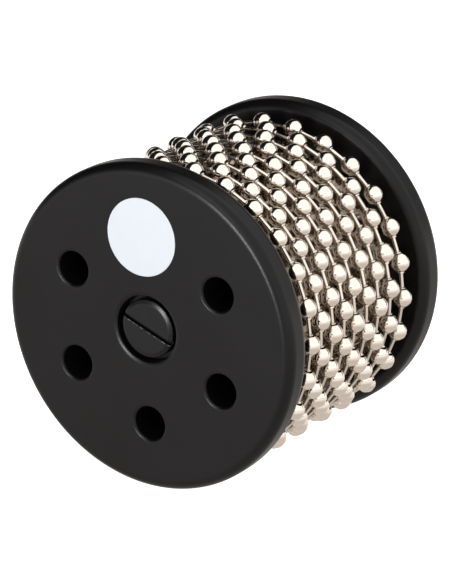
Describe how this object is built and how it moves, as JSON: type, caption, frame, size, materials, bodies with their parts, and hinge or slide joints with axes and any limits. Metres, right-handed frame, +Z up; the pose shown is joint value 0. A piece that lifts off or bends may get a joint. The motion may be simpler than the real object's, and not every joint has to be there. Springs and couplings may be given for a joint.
{
  "type": "cabasa",
  "caption": "Handle-less cabasa lying on its side: a hollow steel drum between two round black heads with sound holes, hung with loops of steel beads.",
  "frame": {"origin": "on the table under the middle of the drum, where the two head rims rest", "axes": "+Y along the drum's axis from the front head to the rear head, +Z up through the place of the badge, +X to the right seen from the front"},
  "size_m": [0.1142, 0.0982, 0.1143],
  "materials": {
    "head_lacquer": "satin black lacquer",
    "shell_steel": "textured stainless steel sheet",
    "bolt_black": "satin black coating",
    "bead_nickel": "polished nickel plating",
    "link_nickel": "polished nickel plating"
  },
  "bodies": {
    "drum": {"front_head": "head_lacquer", "rear_head": "head_lacquer", "drum_shell": "shell_steel", "shoulder_bolt": "bolt_black", "sleeve_nut": "bolt_black"},
    "loop_1": {"bead_loop_1": "bead_nickel", "link_loop_1": "link_nickel"},
    "loop_2": {"bead_loop_2": "bead_nickel", "link_loop_2": "link_nickel"},
    "loop_3": {"bead_loop_3": "bead_nickel", "link_loop_3": "link_nickel"},
    "loop_4": {"bead_loop_4": "bead_nickel", "link_loop_4": "link_nickel"},
    "loop_5": {"bead_loop_5": "bead_nickel", "link_loop_5": "link_nickel"},
    "loop_6": {"bead_loop_6": "bead_nickel", "link_loop_6": "link_nickel"},
    "loop_7": {"bead_loop_7": "bead_nickel", "link_loop_7": "link_nickel"},
    "loop_8": {"bead_loop_8": "bead_nickel", "link_loop_8": "link_nickel"},
    "loop_9": {"bead_loop_9": "bead_nickel", "link_loop_9": "link_nickel"}
  },
  "joints": [
    {"name": "loop_1_turn", "type": "hinge", "parent": "drum", "child": "loop_1", "pos_m": [0, -0.02949, 0.05615], "axis": [0, 1, 0], "continuous": true},
    {"name": "loop_2_turn", "type": "hinge", "parent": "drum", "child": "loop_2", "pos_m": [0, -0.02263, 0.05615], "axis": [0, 1, 0], "continuous": true},
    {"name": "loop_3_turn", "type": "hinge", "parent": "drum", "child": "loop_3", "pos_m": [0, -0.01524, 0.05615], "axis": [0, 1, 0], "continuous": true},
    {"name": "loop_4_turn", "type": "hinge", "parent": "drum", "child": "loop_4", "pos_m": [0, -0.008, 0.05615], "axis": [0, 1, 0], "continuous": true},
    {"name": "loop_5_turn", "type": "hinge", "parent": "drum", "child": "loop_5", "pos_m": [0, -0.00107, 0.05615], "axis": [0, 1, 0], "continuous": true},
    {"name": "loop_6_turn", "type": "hinge", "parent": "drum", "child": "loop_6", "pos_m": [0, 0.00663, 0.05615], "axis": [0, 1, 0], "continuous": true},
    {"name": "loop_7_turn", "type": "hinge", "parent": "drum", "child": "loop_7", "pos_m": [0, 0.01425, 0.05615], "axis": [0, 1, 0], "continuous": true},
    {"name": "loop_8_turn", "type": "hinge", "parent": "drum", "child": "loop_8", "pos_m": [0, 0.02217, 0.05615], "axis": [0, 1, 0], "continuous": true},
    {"name": "loop_9_turn", "type": "hinge", "parent": "drum", "child": "loop_9", "pos_m": [0, 0.03056, 0.05615], "axis": [0, 1, 0], "continuous": true}
  ]
}
